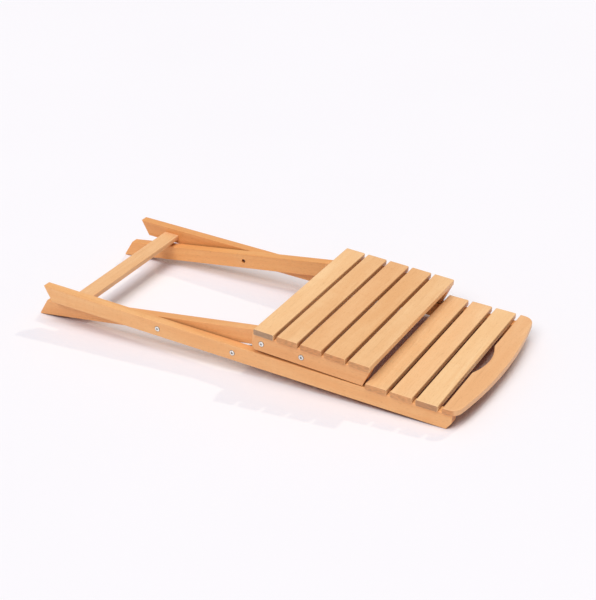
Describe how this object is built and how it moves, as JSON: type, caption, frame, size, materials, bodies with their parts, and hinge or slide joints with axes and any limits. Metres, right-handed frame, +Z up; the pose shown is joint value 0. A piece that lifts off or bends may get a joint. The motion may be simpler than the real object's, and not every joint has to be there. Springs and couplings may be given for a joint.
{
  "type": "folding chair",
  "caption": "Folding slatted wooden chair shown folded flat: slatted seat and backrest, crest rail with a finger notch, crossing rear legs and steel links.",
  "frame": {"origin": "middle of the folded chair's bounding box, on the floor it lies on", "axes": "+X from the feet to the crest rail along the folded chair, +Y to the sitter's right, +Z up off the floor it lies on"},
  "size_m": [0.9866, 0.381, 0.1123],
  "materials": {
    "slat_wood": "satin",
    "frame_wood": "satin",
    "dowel_wood": "matte",
    "zinc_steel": "satin",
    "link_steel": "satin",
    "spacer_plastic": "matte"
  },
  "bodies": {
    "back_frame": {"back_post_left": "frame_wood", "back_post_right": "frame_wood", "back_slat_1": "slat_wood", "back_slat_2": "slat_wood", "back_slat_3": "slat_wood", "crest_rail": "slat_wood", "foot_stretcher": "frame_wood", "back_dowels": "dowel_wood", "stretcher_dowels": "dowel_wood", "leg_pivot_bolts": "zinc_steel", "leg_pivot_sleeves": "zinc_steel", "leg_pivot_spacers": "spacer_plastic", "link_anchor_screws": "zinc_steel"},
    "leg_frame": {"rear_leg_left": "frame_wood", "rear_leg_right": "frame_wood"},
    "seat": {"seat_rail_left": "frame_wood", "seat_rail_right": "frame_wood", "seat_slat_1": "slat_wood", "seat_slat_2": "slat_wood", "seat_slat_3": "slat_wood", "seat_slat_4": "slat_wood", "seat_slat_5": "slat_wood", "seat_dowels": "dowel_wood", "seat_pivot_bolts": "zinc_steel", "seat_pivot_sleeves": "zinc_steel", "seat_pivot_spacers": "spacer_plastic", "link_pivot_bolts": "zinc_steel", "link_pivot_nuts": "zinc_steel"},
    "links": {"link_left": "link_steel", "link_right": "link_steel", "link_rivets": "zinc_steel"}
  },
  "joints": [
    {"name": "leg_hinge", "type": "hinge", "parent": "back_frame", "child": "leg_frame", "pos_m": [-0.1731, 0, 0.05236], "axis": [0, -1, 0], "range_deg": [0, 59.3]},
    {"name": "seat_hinge", "type": "hinge", "parent": "leg_frame", "child": "seat", "pos_m": [0.06905, 0, 0.0794], "axis": [0, 1, 0], "range_deg": [0, 122.78]},
    {"name": "link_hinge", "type": "hinge", "parent": "seat", "child": "links", "pos_m": [0.15547, 0, 0.07236], "axis": [0, -1, 0], "range_deg": [0, 157.83]}
  ],
  "couplings": [
    {"joint": "seat_hinge", "follows": "leg_hinge", "ratio": 2.0696},
    {"joint": "link_hinge", "follows": "leg_hinge", "ratio": 2.6607}
  ]
}
